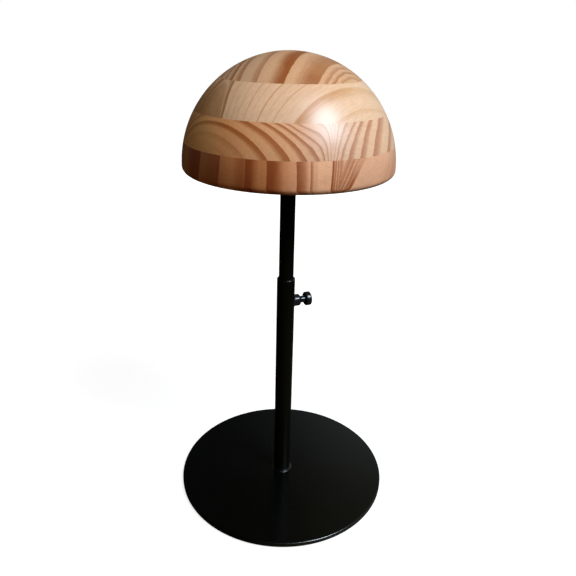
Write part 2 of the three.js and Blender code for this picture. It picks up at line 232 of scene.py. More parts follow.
class HatStandStudio(bpy.types.PropertyGroup):
    """Camera, lamps and floor."""

    camera_turn: angle_property(
        "Camera turn", "Side from which the camera looks, about the vertical", math.radians(-22)
    )
    camera_distance: length("Camera distance", "Level distance of the camera from the pole", 475.98)
    camera_height: length("Camera height", "Height of the camera above the floor", 414.95)
    camera_pitch: angle_property("Camera pitch", "Angle by which the camera looks down", 0.4142)
    camera_yaw: angle_property("Camera yaw", "Angle by which the camera looks past the pole", 0.004)
    camera_roll: angle_property("Camera roll", "Angle by which the camera is tilted sideways", 0.025)
    lens: plain("Lens", "Focal length in millimetres", 36.44)
    key_turn: angle_property(
        "Key turn", "Side of the key lamp, to the right of the camera", math.radians(51.5)
    )
    key_rise: angle_property("Key rise", "Height of the key lamp as an angle", math.radians(46.3))
    key_distance: length("Key distance", "Distance of the key lamp from the dome", 1300)
    key_size: length("Key size", "Width of the key lamp", 500)
    key_power: power("Key power", "Power of the key lamp", 27)
    key: colour("Key", "Colour of the key lamp, the cool light of a window", (0.74, 0.87, 1.0))
    fill: colour("Fill", "Colour of the light that comes from all sides", (1.0, 0.68, 0.4))
    fill_strength: plain("Fill strength", "Strength of that light", 0.045)
    side_power: power("Side power", "Power of the dim warm lamp on the left", 1.6)
    back_power: power("Back power", "Power of the low lamp behind the stand", 9)
    room: colour("Room", "Colour of the room's walls as the lacquer mirrors them", (0.9, 1.0, 0.95))
    ceiling: colour("Ceiling", "Colour of the room's ceiling as the lacquer mirrors it", (1.0, 0.95, 0.5))
    floor_gleam: colour("Floor gleam", "Colour of the floor as the lacquer mirrors it", (0.1, 0.092, 0.056))
    floor_radius: length("Floor radius", "Radius of the round floor", 4000)


# The piths are measured from a point this many millimetres up the pole's axis.
DOME_MIDDLE = 330

# The four boards, lowest first. Angles are in degrees and lengths in millimetres. A crook is its
# height, its place along the grain and its width. A tone is a place on the line of tones, the
# colours of earlywood and latewood there, and how strongly the rings show. A ring is its outer edge,
# how dark its latewood is, and the share of its width that is latewood, up to 2 where it fades little
# over the ring, and negative where the dark edge is the inner one.
BOARDS = (
    dict(
        turn=-0.1, rise=-14.4, aside=-8.39, above=-18.86, bends=(4.1, -0.08), taper=0.065,
        crook=(10.24, 6.3, 21.24), uneven=0.25,
        tones=(
            (-75, (0.47, 0.23, 0.11), (0.29, 0.09, 0.035), 1.0),
            (-42, (0.66, 0.24, 0.077), (0.32, 0.061, 0.011), 1.0),
            (-8, (0.61, 0.21, 0.07), (0.33, 0.072, 0.015), 1.0),
            (4, (0.79, 0.33, 0.16), (0.34, 0.077, 0.015), 1.0),
            (20, (0.87, 0.42, 0.22), (0.34, 0.077, 0.015), 1.0),
            (44, (0.75, 0.37, 0.2), (0.34, 0.085, 0.019), 1.0),
            (54, (0.73, 0.36, 0.2), (0.52, 0.2, 0.1), 0.35),
        ),
        rings=(
            (8, 0.2, -0.9), (19, 0.3, -0.9), (40.1, 0.95, 0.98), (53.9, 0.75, 0.95), (63.9, 0.6, 0.45),
            (69.9, 1.0, -0.7), (76.6, 1.0, -0.6), (79.7, 0.85, -0.95), (80.7, 0.7, -0.9),
            (85.6, 0.1, -0.3), (86.5, 1.0, -1.3), (87.4, 0.8, -1.1), (88.3, 0.75, -1.2),
            (90, 0.7, -1.1),
        ),
    ),
    dict(
        turn=14.9, rise=-13.2, aside=-20.4, above=-9.57, bends=(1.987, -4.013), taper=-0.192,
        crook=(2.86, -24.1, 3.35), uneven=0.3,
        tones=(
            (-75, (0.83, 0.5, 0.19), (0.57, 0.28, 0.09), 0.8),
            (-45, (0.77, 0.33, 0.12), (0.43, 0.12, 0.025), 1.0),
            (5, (0.77, 0.37, 0.18), (0.43, 0.13, 0.037), 1.0),
            (32, (0.71, 0.4, 0.24), (0.46, 0.19, 0.089), 1.0),
            (60, (0.74, 0.43, 0.25), (0.48, 0.2, 0.1), 1.0),
        ),
        rings=(
            (37.5, 0.15, 0.3), (45.5, 0.1, 0.3), (52.3, 0.35, 0.5), (58.7, 1.0, 0.45), (63.4, 1.0, 0.5),
            (65.6, 1.0, 0.5), (66.8, 0.95, 0.55), (67.5, 0.85, 0.5), (68.3, 0.8, 0.5),
            (69.3, 0.75, 0.4), (70.3, 0.45, 0.4), (71.6, 0.45, 0.35), (73.5, 0.35, 0.35),
            (76, 0.4, 0.35), (80, 0.9, 0.45), (85, 0.7, 0.5), (90, 0.9, 0.4), (95, 0.8, 0.5),
            (99, 0.9, 0.5), (103, 0.7, 0.5), (107, 0.8, 0.5), (111, 0.8, 0.5),
        ),
    ),
    dict(
        turn=23.2, rise=28.9, aside=8.8, above=53.0, bends=(0, 0), taper=-0.074,
        crook=(0, 0, 10), uneven=0.9,
        tones=(
            (-62, (0.53, 0.28, 0.11), (0.42, 0.19, 0.06), 1.0),
            (-50, (0.75, 0.45, 0.25), (0.38, 0.17, 0.06), 1.0),
            (-22, (0.78, 0.45, 0.26), (0.46, 0.2, 0.074), 1.0),
            (15, (0.72, 0.41, 0.23), (0.48, 0.16, 0.015), 1.0),
            (48, (0.73, 0.44, 0.26), (0.55, 0.27, 0.1), 0.6),
        ),
        rings=(
            (3, 0.3, 0.5), (8, 0.4, 0.8), (14, 0.5, 0.9), (20.3, 0.6, 1.9), (22.4, 1.0, 1.2),
            (26.5, 0.16, 0.4), (30, 0.2, 0.4), (33.5, 0.2, 0.4), (38.3, 0.4, 0.22), (42.5, 0.12, 0.4),
            (47.2, 0.75, 0.2), (51.2, 0.14, 0.4), (55.6, 0.4, 0.2), (61, 0.12, 0.3), (65.3, 0.0, 0.2),
            (66, 0.7, 0.9), (81, 0.75, -0.5), (90, 0.7, -0.3), (98, 0.5, -0.3),
        ),
    ),
    dict(
        turn=162.9, rise=40.1, aside=-44.0, above=-74.5, bends=(0, 0), taper=-0.005,
        crook=(0, 0, 10), uneven=0.8,
        tones=(
            (-30, (0.62, 0.35, 0.19), (0.34, 0.13, 0.045), 1.0),
            (-3, (0.65, 0.33, 0.16), (0.3, 0.077, 0.015), 1.0),
            (30, (0.62, 0.32, 0.16), (0.36, 0.12, 0.03), 1.0),
        ),
        rings=(
            (80, 0.7, 0.4), (87, 0.6, 0.45), (94, 0.5, 0.5), (101, 0.7, 0.45), (108, 0.6, 0.5),
            (114.5, 0.95, 0.7), (121, 0.7, 0.75), (132.7, 0.6, 0.42), (146.2, 0.95, 0.6),
            (157.2, 0.82, 0.75), (159.2, 0.6, 0.6), (160.5, 0.8, 0.6), (161.6, 0.6, 0.6), (163, 0.7, 0.6),
        ),
    ),
)

# Darkness of the latewood from its dark edge, at 0, to its soft one, at 1
LATEWOOD_FADE = ((0.0, 0.3), (0.04, 1.0), (0.3, 0.92), (0.55, 0.7), (0.8, 0.3), (1.0, 0.0))


class Value:
    """An output socket, whose arithmetic adds Math nodes."""

    def __init__(self, shader, socket):
        self.shader = shader
        self.socket = socket

    def math(self, operation, *others):
        inputs = dict(enumerate((self, *others)))
        return self.shader.node("Math", {"operation": operation}, inputs)

    def __add__(self, other):
        return self.math("ADD", other)

    def __sub__(self, other):
        return self.math("SUBTRACT", other)

    def __mul__(self, other):
        return self.math("MULTIPLY", other)

    def __truediv__(self, other):
        return self.math("DIVIDE", other)

    def __rsub__(self, other):
        return self.shader.node("Math", {"operation": "SUBTRACT"}, {0: other, 1: self})

    __radd__ = __add__
    __rmul__ = __mul__


class Shader:
    """The node tree of a material or of the world, with one method that adds any node."""

    def __init__(self, owner):
        owner.use_nodes = True
        self.owner = owner
        self.tree = owner.node_tree
        self.tree.nodes.clear()

    def node(self, kind, settings=None, inputs=None, output=0):
        node = self.tree.nodes.new("ShaderNode" + kind)
        for key, value in (settings or {}).items():
            if key == "stops":
                set_stops(node.color_ramp, value)
            elif key == "interpolation":
                node.color_ramp.interpolation = value
            else:
                setattr(node, key, value)
        for key, value in (inputs or {}).items():
            if isinstance(value, Value):
                self.tree.links.new(value.socket, node.inputs[key])
            else:
                node.inputs[key].default_value = value
        return Value(self, node.outputs[output]) if node.outputs else None

    def place(self):
        """The point on the surface, in metres in the row frame."""
        return self.node("TexCoord", output="Object")

    def dot(self, vector, direction):
        settings = {"operation": "DOT_PRODUCT"}
        return self.node("VectorMath", settings, {0: vector, 1: tuple(direction)}, "Value")

    def length(self, vector):
        return self.node("VectorMath", {"operation": "LENGTH"}, {0: vector}, "Value")

    def scaled(self, vector, factors):
        return self.node("VectorMath", {"operation": "MULTIPLY"}, {0: vector, 1: factors})

    def vector(self, x, y, z):
        return self.node("CombineXYZ", None, {0: x, 1: y, 2: z})

    def noise(self, vector, detail=2.0):
        return self.node("TexNoise", None, {"Vector": vector, "Scale": 1.0, "Detail": detail})

    def speckle(self, place, per_metre, detail=2.0):
        """Noise with about that many grains to the metre."""
        return self.noise(self.scaled(place, (per_metre,) * 3), detail)

    def mix(self, factor, first, second, blend="MIX"):
        settings = {"data_type": "RGBA", "blend_type": blend}
        return self.node("Mix", settings, {0: factor, 6: first, 7: second}, 2)

    def ramp(self, value, stops, interpolation="LINEAR"):
        settings = {"stops": stops, "interpolation": interpolation}
        return self.node("ValToRGB", settings, {0: value})

    def bump(self, height, distance):
        return self.node("Bump", None, {"Height": height, "Distance": distance})

    def by_ray(self, seen, mirrored, thrown):
        """One shader for the camera and through glass, one for gloss and one for all other rays."""
        camera, gloss, glass = (
            self.node("LightPath", output=name)
            for name in ("Is Camera Ray", "Is Glossy Ray", "Is Transmission Ray")
        )
        unseen = self.node("MixShader", None, {0: gloss, 1: thrown, 2: mirrored})
        return self.node("MixShader", None, {0: camera.math("MAXIMUM", glass), 1: unseen, 2: seen})

    def surface(self, inputs):
        """Ends the tree in a Principled surface with these sockets, and gives the material."""
        surface = self.node("BsdfPrincipled", None, inputs)
        self.node("OutputMaterial", None, {"Surface": surface})
        return self.owner


def set_stops(ramp, stops):
    """Puts (position, grey or colour) stops on a ramp."""
    while len(ramp.elements) < len(stops):
        ramp.elements.new(1.0)
    for element, (position, shade) in zip(ramp.elements, stops):
        element.position = position
        element.color = (shade, shade, shade, 1) if isinstance(shade, float) else (*shade, 1)


def opaque(shade):
    """A colour with full alpha."""
    return (*shade, 1.0)


def toned(shade, factor):
    """A colour times a factor."""
    return opaque(tuple(factor * part for part in shade))


def heading(turn):
    """Level unit vector at an angle from +X."""
    return (math.cos(turn), math.sin(turn), 0)


def new_material(name):
    """Shader of a new material."""
    return Shader(bpy.data.materials.new(name))


def streaks(shader, axes, broad, long, detail):
    """Noise drawn out along the grain, about so broad across it and so long along it, in mm."""
    across, above, along = axes
    return shader.noise(shader.vector(across / broad, above / broad, along / long), detail)


def ring_pattern(shader, board, axes):
    """Darkness of the latewood, and the radius that it comes from. The pith is the parabola
    (bend_aside s^2, bend_above s^2) at the distance s along the grain. The radius is the distance
    from it, plus taper times s, plus the swelling height * exp(-|s - place| / width) of a crook,
    pushed by slow waves. One ramp turns the radius into a ring number that rises by 1 from edge to
    edge; its whole part picks the ring's own darkness and share of latewood from two stepped ramps,
    and its fraction f is the place within the ring. A ring's depth is the distance from its dark
    edge over that share: (1 - f) / share, or f / -share where the share is negative."""
    across, above, along = axes
    square = along * along * MM
    aside = across - square * board.bend_aside
    upward = above - square * board.bend_above
    radius = (aside * aside + upward * upward).math("SQRT") + along * board.taper
    if board.crook_height:
        away = (along - board.crook_place / MM).math("ABSOLUTE")
        swelling = (away * (-MM / board.crook_width)).math("EXPONENT")
        radius = radius + swelling * (board.crook_height / MM)
    wave = streaks(shader, axes, 35, 150, 1.0)
    ripple = streaks(shader, axes, 8, 40, 1.0)
    uneven = board.unevenness / MM
    radius = radius + (wave - 0.5) * (2.6 * uneven) + (ripple - 0.5) * (0.9 * uneven)

    edges = [ring.edge / MM for ring in board.rings]
    count = len(edges) - 1
    span = edges[-1] - edges[0]
    rise = [((edge - edges[0]) / span, i / count) for i, edge in enumerate(edges)]
    just_below_last = count - 0.0005
    number = shader.ramp((radius - edges[0]) / span, rise) * just_below_last
    whole = number.math("FLOOR")
    pick = (whole + 0.5) / count
    own = list(enumerate(list(board.rings)[1:]))
    darkness = shader.ramp(pick, [(i / count, ring.darkness) for i, ring in own], "CONSTANT")
    shares = [(i / count, 0.5 + ring.share / 4) for i, ring in own]
    share = shader.ramp(pick, shares, "CONSTANT") * 4 - 2
    middle = number - whole - 0.5
    depth = (0.5 - middle * share.math("SIGN")) / share.math("ABSOLUTE")
    return shader.ramp(depth, LATEWOOD_FADE) * darkness, radius


def pine(board):
    """Solid pine: growth rings about the pith, fine growth lines along the rings, fibres along the
    grain, and tones that change along a level line. The axes are the point's distances across and
    above the pith and its place along the grain, in millimetres."""
    turn, rise = board.pith_turn, board.pith_rise
    grain = np.array([math.cos(rise) * math.cos(turn), math.cos(rise) * math.sin(turn), math.sin(rise)])
    level = np.array([-math.sin(turn), math.cos(turn), 0])
    upright = np.cross(grain, level)
    middle = np.array([0, 0, DOME_MIDDLE])
    shader = new_material("pine_" + board.node)
    place = shader.place()
    along = shader.dot(place, grain / MM) - float(middle @ grain)
    across = shader.dot(place, level / MM) - float(middle @ level + board.pith_aside / MM)
    above = shader.dot(place, upright / MM) - float(middle @ upright + board.pith_above / MM)
    axes = (across, above, along)

    tones = list(board.tones)
    first, last = tones[0].place, tones[-1].place
    progress = (shader.dot(place, heading(board.tone_turn)) - first) / (last - first)
    stops = [(tone.place - first) / (last - first) for tone in tones]
    early = shader.ramp(progress, list(zip(stops, (tuple(tone.early) for tone in tones))))
    dark = shader.ramp(progress, list(zip(stops, (tuple(tone.late) for tone in tones))))
    strength = shader.ramp(progress, list(zip(stops, (tone.strength for tone in tones))))

    late, radius = ring_pattern(shader, board, axes)
    lines = shader.noise(shader.vector(radius / 0.8, along / 60, across / 45), 3.0)
    fibres = streaks(shader, axes, 0.6, 14, 2.0)
    flecks = streaks(shader, axes, 1.6, 9, 1.0)
    blotch = streaks(shader, axes, 26, 50, 2.0)
    darkness = late * strength * (0.92 + blotch * 0.4) + (lines - 0.48) * 0.42 + (blotch - 0.5) * 0.3
    darkness = darkness.math("MAXIMUM", 0.0).math("MINIMUM", 1.0)
    base = shader.mix(darkness, early, dark)
    shade = 0.73 + fibres * 0.32 + flecks * 0.22
    shaded = shader.mix(1.0, base, shader.vector(shade, shade, shade), "MULTIPLY")
    relief = late * 0.6 + fibres * 0.5
    return shader.surface({
        "Base Color": shaded,
        "Roughness": 0.36 + fibres * 0.12,
        "Specular IOR Level": 0.45,
        "Coat Weight": 0.4,
        "Coat Roughness": 0.32,
        "Normal": shader.bump(relief, 0.03 * MM),
    })


def lacquer(name, shade, roughness, grain_size, edges=(), weld=None, specular=0.5):
    """Lacquer over metal, with a fine orange peel of that grain size and slightly uneven gloss. An
    edge (factors, low, high, highlight side) gets a gloss coat where the length of the point times
    the factors lies between low and high, and only about the direction of its highlight side, if it
    has one, which is the side where the key lamp's highlight reaches the camera: a painted highlight.
    A weld (factors, start, leg) is a fillet in relief where that length goes from start to
    start + leg. The relief is in millimetres."""
    peel_height = 0.012
    shader = new_material(name)
    place = shader.place()
    peel = shader.speckle(place, 1 / grain_size)
    patches = shader.speckle(place, 22.0, 3.0)
    gleam = 0.0
    for factors, low, high, side in edges:
        size = shader.length(shader.scaled(place, factors))
        band = size.math("GREATER_THAN", low) * size.math("LESS_THAN", high)
        # Gloss coat only about the side where the key lamp's highlight reaches the camera: a painted
        # highlight.
        if side is not None:
            facing = shader.dot(place, heading(side)) / size
            band = band * shader.ramp(facing, ((0.7, 0.0), (0.86, 0.6), (0.96, 1.0)))
        gleam = gleam + band
    relief = peel * peel_height
    if weld:
        factors, start, leg = weld
        away = (shader.length(shader.scaled(place, factors)) - start) / leg
        fillet = shader.ramp(away, ((0.0, 1.0), (0.25, 0.55), (0.5, 0.25), (0.75, 0.08), (1.0, 0.0)))
        relief = relief + fillet * (leg / MM)
    return shader.surface({
        "Base Color": shader.mix(patches, opaque(shade), toned(shade, 1.9)),
        "Roughness": roughness - 0.05 + patches * 0.1,
        "Specular IOR Level": specular,
        "Coat Weight": gleam,
        "Coat Roughness": 0.27,
        "Normal": shader.bump(relief, MM),
    })


def zinc(shade):
    """Bright zinc plate: fine spangles that change tone and gloss, with a faint yellow cast."""
    shader = new_material("zinc_plate")
    place = shader.place()
    spangle = shader.speckle(place, 900.0, 3.0)
    cast = shader.speckle(place, 120.0)
    return shader.surface({
        "Base Color": shader.mix(cast, opaque(shade), (0.62, 0.6, 0.5, 1)),
        "Metallic": 1.0,
        "Roughness": 0.26 + spangle * 0.2,
        "Normal": shader.bump(spangle, 0.01 * MM),
    })


def rubber(shade):
    """Matt rubber with a fine moulded grain."""
    shader = new_material("foot_rubber")
    grain = shader.speckle(shader.place(), 2200.0)
    return shader.surface({
        "Base Color": shader.mix(grain, opaque(shade), toned(shade, 1.7)),
        "Roughness": 0.72 + grain * 0.16,
        "Specular IOR Level": 0.35,
        "Normal": shader.bump(grain, 0.03 * MM),
    })


def nylon(shade):
    """Natural nylon with faint turning marks round the upright axis."""
    shader = new_material("nylon")
    marks = shader.noise(shader.scaled(shader.place(), (60.0, 60.0, 4000.0)))
    return shader.surface({
        "Base Color": shader.mix(marks, opaque(shade), toned(shade, 0.88)),
        "Roughness": 0.42 + marks * 0.16,
        "Normal": shader.bump(marks, 0.01 * MM),
    })


def rounded(corners, steps=6, closed=False):
    """Profile through (radius, height, rounding) corners. A corner with a rounding q becomes an arc
    of radius q that touches both its sides: for unit vectors a and b along the sides and the angle
    t between them, the arc starts q / tan(t / 2) away from the corner, and its centre lies
    q / sin(t / 2) away along a + b."""
    profile = []
    count = len(corners)
    for i, (radius, height, rounding) in enumerate(corners):
        corner = np.array([radius, height])
        if rounding == 0 or (not closed and i in (0, count - 1)):
            profile.append(corner)
            continue
        back = np.array(corners[i - 1][:2]) - corner
        ahead = np.array(corners[(i + 1) % count][:2]) - corner
        back /= np.linalg.norm(back)
        ahead /= np.linalg.norm(ahead)
        half = math.acos(np.clip(back @ ahead, -1, 1)) / 2
        middle = (back + ahead) / np.linalg.norm(back + ahead)
        centre = corner + middle * rounding / math.sin(half)
        first = corner + back * rounding / math.tan(half) - centre
        last = corner + ahead * rounding / math.tan(half) - centre
        sweep = math.acos(np.clip(first @ last / rounding**2, -1, 1))
        share = np.linspace(0, 1, steps + 1)[:, None]
        arc = (np.sin((1 - share) * sweep) * first + np.sin(share * sweep) * last) / math.sin(sweep)
        profile.extend(centre + arc)
    return np.array(profile)


def turned_surface(profile, sides, thread=None):
    """Surface of revolution: the profile's point (r, z) at angle a lies at (r cos a, r sin a, z).
    A profile that starts and ends on the axis closes in two poles, any other closes on itself.
    A thread (low, high, pitch, depth) lowers r by depth (1 + cos(2 pi z / pitch - a)) / 2 between
    the heights low and high, with a run-out of half a pitch at both ends."""
    profile = np.asarray(profile, float)
    poles = abs(profile[0, 0]) < TINY and abs(profile[-1, 0]) < TINY
    rings = profile[1:-1] if poles else profile
    angle = np.arange(sides) * 2 * math.pi / sides
    height = np.repeat(rings[:, 1:], sides, axis=1)
    radius = np.repeat(rings[:, :1], sides, axis=1)
    if thread:
        low, high, pitch, depth = thread
        wave = (1 + np.cos(2 * math.pi * height / pitch - angle)) / 2
        run_out = np.clip(np.minimum(height - low, high - height) / (pitch / 2), 0, 1)
        radius = radius - depth * wave * run_out
    points = np.stack((radius * np.cos(angle), radius * np.sin(angle), height), axis=-1)
    points = points.reshape(-1, 3)
    rows = len(rings)
    row = np.arange(rows - 1 if poles else rows)[:, None] * sides
    next_row = (row + sides) % (rows * sides)
    here = np.arange(sides)[None, :]
    beside = (here + 1) % sides
    quads = np.stack((row + here, row + beside, next_row + beside, next_row + here), axis=-1)
    faces = quads.reshape(-1, 4).tolist()
    if poles:
        ends = [[0, 0, profile[0, 1]], [0, 0, profile[-1, 1]]]
        points = np.concatenate((points, ends))
        bottom, top = rows * sides, rows * sides + 1
        last = (rows - 1) * sides
        faces += np.stack((beside[0], here[0], np.full(sides, bottom)), axis=-1).tolist()
        faces += np.stack((last + here[0], last + beside[0], np.full(sides, top)), axis=-1).tolist()
    return points, faces


def along_x(points, height):
    """Turns points drawn along Z so that they lie along +X, at a height above the floor."""
    return np.stack((points[:, 2], points[:, 1], height - points[:, 0]), axis=-1)


def shade_smooth(mesh):
    """Shades a mesh smooth, apart from its sharp edges."""
    mesh.polygons.foreach_set("use_smooth", np.ones(len(mesh.polygons), bool))
    mesh.set_sharp_from_angle(angle=SHARP_ANGLE)


def mesh_object(name, points, faces):
    """Smooth object with these points and faces, in the scene."""
    mesh = bpy.data.meshes.new(name)
    mesh.from_pydata(points.tolist(), [], faces)
    mesh.validate()
    shade_smooth(mesh)
    thing = bpy.data.objects.new(name, mesh)
    bpy.context.scene.collection.objects.link(thing)
    return thing


def turned_piece(node, profile, sides, middle=(0, 0)):
    """A node's finished piece, turned about the upright axis through a middle."""
    points, faces = turned_surface(profile, sides)
    points[:, :2] += middle
    return mesh_object(node + "_finished", points, faces)


def countersunk(node, shank, shank_end, end_rounding, edge_rounding):
    """Profile of a node's screw with its head down: the head's cone, the shank and its end."""
    low, head = floor_of(node), box_size(node, 0) / 2
    return rounded([
        (0, low, 0),
        (head, low, edge_rounding),
        (shank, low + head - shank, 0),
        (shank, shank_end, end_rounding),
        (0, top_of(node), 0),
    ])


def tube_profile(radius, wall, ends, roundings, rows=()):
    """Closed profile of a tube between its two ends. The roundings are those of the outer edge at
    the lower and at the upper end, and of both inner edges. Rows are heights of extra points."""
    low, high = ends
    outer_low, outer_high, inner = roundings
    bore = radius - wall
    return rounded([
        (bore, low, inner),
        (radius, low, outer_low),
        *((radius, row, 0) for row in rows),
        (radius, high, outer_high),
        (bore, high, inner),
        *((bore, row, 0) for row in reversed(rows)),
    ], closed=True)


def bar(radius, low, high, sides=CUTTER_SIDES):
    """Points and faces of an upright bar."""
    return turned_surface([(0, low), (radius, low), (radius, high), (0, high)], sides)


def cut(thing, points, faces):
    """Takes a solid with these points and faces out of a piece."""
    cutter = mesh_object("cutter", points, faces)
    modifier = thing.modifiers.new("cut", "BOOLEAN")
    modifier.operation = "DIFFERENCE"
    modifier.solver = "EXACT"
    modifier.object = cutter
    evaluated = thing.evaluated_get(bpy.context.evaluated_depsgraph_get())
    mesh = bpy.data.meshes.new_from_object(evaluated)
    thing.modifiers.clear()
    thing.data = mesh
    bpy.data.objects.remove(cutter)
    shade_smooth(mesh)


def wear(thing, material):
    """Gives a piece its one material."""
    thing.data.materials.clear()
    thing.data.materials.append(material)


def finish(thing, node, body, material):
    """Makes a piece stand for its node, ride on a body and wear a material."""
    wear(thing, material)
    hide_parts(node)
    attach(thing, body)


class HATSTAND_OT_base(bpy.types.Operator):
    """Round steel base with its rubber pads and the screw that holds the pole"""

    bl_idname = "hat_stand.base"
    bl_label = "Base"

    def execute(self, context):
        sizes = context.scene.hat_stand_sizes
        finishes = context.scene.hat_stand_finishes
        self.add_plate(sizes, finishes)
        self.add_feet(sizes, rubber(finishes.rubber))
        self.add_screw(sizes, zinc(finishes.zinc))
        return {"FINISHED"}

    def add_plate(self, sizes, finishes):
        """Disc with rounded edges, bored and countersunk from below for the screw."""
        rim_start = PLATE_RADIUS - 1.2 * sizes.plate_top_rounding
        # The rim's gloss coat is limited to the side where the key lamp's highlight reaches the camera: a
        # painted highlight.
        rim = (FROM_AXIS, rim_start, 2 * PLATE_RADIUS, finishes.highlight_side)
        foot = (FROM_AXIS, 0, LOWER_TUBE_RADIUS + sizes.foot_weld, None)
        black = lacquer(
            "plate_lacquer", finishes.lacquer, finishes.lacquer_roughness, PEEL_GRAIN, [rim, foot],
            (FROM_AXIS, LOWER_TUBE_RADIUS, sizes.foot_weld),
        )
        bore = sizes.bore_radius
        head = box_size("base_screw", 0) / 2 + SEAT_GAP
        seat = PLATE_LOW + 0.2 * MM
        profile = rounded([
            (bore, seat + head - bore, 0),
            (head, seat, 0),
            (head, PLATE_LOW, 0),
            (PLATE_RADIUS, PLATE_LOW, sizes.plate_low_rounding),
            (PLATE_RADIUS, PLATE_TOP, sizes.plate_top_rounding),
            (bore, PLATE_TOP, 0),
        ], closed=True)
        plate = turned_piece("base_plate", profile, sizes.plate_sides)
        finish(plate, "base_plate", "base", black)

    def add_feet(self, sizes, material):
        for node in FOOT_NODES:
            low, high, radius = floor_of(node), top_of(node), box_size(node, 0) / 2
            profile = rounded([
                (0, low, 0),
                (radius, low, sizes.foot_rounding),
                (radius, high, 0),
                (0, high, 0),
            ])
            pad = turned_piece(node, profile, sizes.tube_sides, middle_of(node))
            finish(pad, node, "base", material)

    def add_screw(self, sizes, material):
        """Countersunk screw with a hex socket in its head."""
        low, high = floor_of("base_screw"), top_of("base_screw")
        profile = countersunk("base_screw", SHANK_RADIUS, high, 0.6 * MM, sizes.tube_fine_rounding)
        screw = turned_piece("base_screw", profile, sizes.tube_sides)
        socket_radius = sizes.hex_socket_width / 2 / math.cos(math.pi / 6)
        socket_depth = 2.2 * MM
        cut(screw, *bar(socket_radius, low - CUTTER_MARGIN, low + socket_depth, 6))
        finish(screw, "base_screw", "base", material)


class HATSTAND_OT_pole(bpy.types.Operator):
    """Both tubes of the pole"""

    bl_idname = "hat_stand.pole"
    bl_label = "Pole"

    def execute(self, context):
        sizes = context.scene.hat_stand_sizes
        finishes = context.scene.hat_stand_finishes
        mouth = (FROM_FLOOR, LOWER_TUBE_TOP - 1.2 * MM, LOWER_TUBE_TOP + MM, None)
        foot = (FROM_FLOOR, PLATE_TOP - MM, PLATE_TOP + sizes.foot_weld, None)
        black = lacquer(
            "tube_lacquer", finishes.tube_lacquer, finishes.tube_roughness, PEEL_GRAIN,
            [mouth, foot], (FROM_FLOOR, PLATE_TOP, sizes.foot_weld), specular=0.1,
        )
        self.add_lower_tube(sizes, black)
        self.add_upper_tube(sizes, black)
        return {"FINISHED"}

    def add_lower_tube(self, sizes, material):
        """Tube with a rounded mouth and a hole for the clamp screw. Extra rows of points, a guard's
        length above and below the hole, keep the cut away from the long faces."""
        mouth, guard = sizes.tube_mouth_rounding, 8 * MM
        profile = tube_profile(
            LOWER_TUBE_RADIUS, sizes.tube_wall, (PLATE_TOP, LOWER_TUBE_TOP),
            (mouth / 2, mouth, sizes.tube_fine_rounding), (CLAMP_HEIGHT - guard, CLAMP_HEIGHT + guard),
        )
        tube = turned_piece("lower_tube", profile, sizes.tube_sides)
        points, faces = bar(sizes.clamp_hole_radius, CUTTER_MARGIN, 2 * LOWER_TUBE_RADIUS)
        cut(tube, along_x(points, CLAMP_HEIGHT), faces)
        finish(tube, "lower_tube", "base", material)

    def add_upper_tube(self, sizes, material):
        ends = (UPPER_TUBE_FOOT, UPPER_TUBE_TOP)
        roundings = (sizes.tube_fine_rounding,) * 3
        profile = tube_profile(UPPER_TUBE_RADIUS, sizes.tube_wall, ends, roundings)
        tube = turned_piece("upper_tube", profile, sizes.tube_sides)
        finish(tube, "upper_tube", "head", material)


